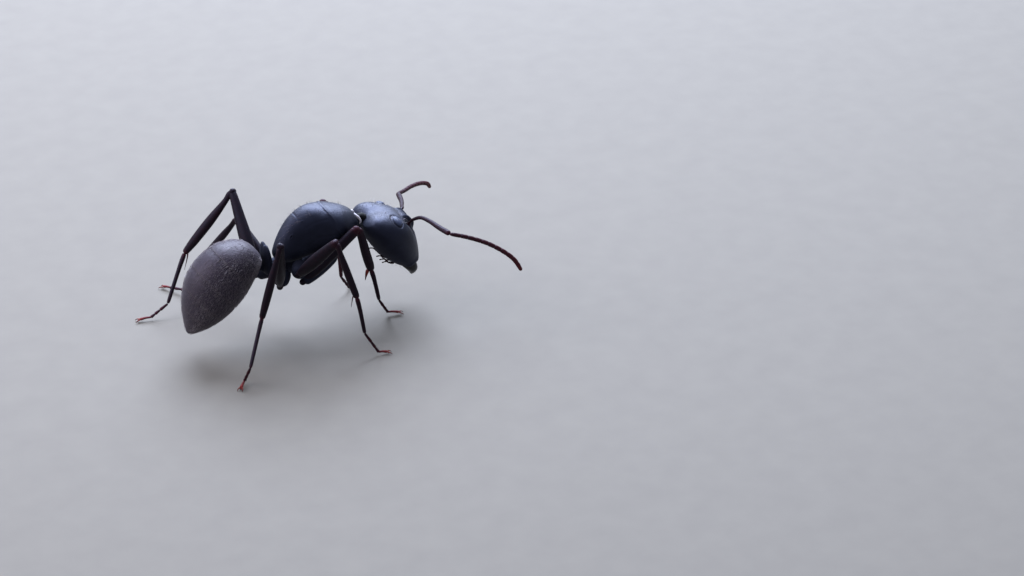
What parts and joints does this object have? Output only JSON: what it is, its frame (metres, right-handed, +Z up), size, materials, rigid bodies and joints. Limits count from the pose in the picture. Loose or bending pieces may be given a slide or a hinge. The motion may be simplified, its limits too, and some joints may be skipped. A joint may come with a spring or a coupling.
{
  "type": "ant",
  "caption": "Black carpenter ant worker at life size, standing in mid-stride with bent feelers, slender jointed legs, a narrow upright waist scale and an egg-shaped hind body.",
  "frame": {"origin": "centre of the bounding box in X and Y, at the level the feet stand on", "axes": "+X towards the head, +Y to the ant's left side, +Z up"},
  "size_m": [0.014, 0.009, 0.0054],
  "materials": {
    "black_cuticle": "satin black shell, finely netted",
    "gaster_cuticle": "dull grey-black shell under fine lying hairs",
    "leg_cuticle": "satin brown-black, redder at the knees",
    "foot_cuticle": "satin red-brown",
    "feeler_cuticle": "dull dark red-brown with fine down",
    "jaw_cuticle": "polished brown-black, redder at the teeth",
    "eye": "glossy, faceted"
  },
  "bodies": {
    "root": {"head": "black_cuticle", "neck": "black_cuticle", "pronotum": "black_cuticle", "mesonotum": "black_cuticle", "propodeum": "black_cuticle", "petiole": "black_cuticle", "antenna_right_scape": "black_cuticle", "antenna_left_scape": "black_cuticle", "eye_right": "eye", "mandible_right": "jaw_cuticle", "antenna_right_funiculus_base": "feeler_cuticle", "antenna_right_funiculus_tip": "feeler_cuticle", "eye_left": "eye", "mandible_left": "jaw_cuticle", "antenna_left_funiculus_base": "feeler_cuticle", "antenna_left_funiculus_tip": "feeler_cuticle", "gaster_1": "gaster_cuticle", "gaster_2": "gaster_cuticle", "gaster_3": "gaster_cuticle", "gaster_4": "gaster_cuticle", "gaster_5": "gaster_cuticle", "right_front_coxa": "black_cuticle", "right_front_femur": "leg_cuticle", "right_front_tibia": "leg_cuticle", "right_front_basitarsus": "leg_cuticle", "right_front_tarsus": "foot_cuticle", "left_front_coxa": "black_cuticle", "left_front_femur": "leg_cuticle", "left_front_tibia": "leg_cuticle", "left_front_basitarsus": "leg_cuticle", "left_front_tarsus": "foot_cuticle", "right_middle_coxa": "black_cuticle", "right_middle_femur": "leg_cuticle", "right_middle_tibia": "leg_cuticle", "right_middle_basitarsus": "leg_cuticle", "right_middle_tarsus": "foot_cuticle", "left_middle_coxa": "black_cuticle", "left_middle_femur": "leg_cuticle", "left_middle_tibia": "leg_cuticle", "left_middle_basitarsus": "leg_cuticle", "left_middle_tarsus": "foot_cuticle", "right_hind_coxa": "black_cuticle", "right_hind_femur": "leg_cuticle", "right_hind_tibia": "leg_cuticle", "right_hind_basitarsus": "leg_cuticle", "right_hind_tarsus": "foot_cuticle", "left_hind_coxa": "black_cuticle", "left_hind_femur": "leg_cuticle", "left_hind_tibia": "leg_cuticle", "left_hind_basitarsus": "leg_cuticle", "left_hind_tarsus": "foot_cuticle"}
  },
  "joints": []
}
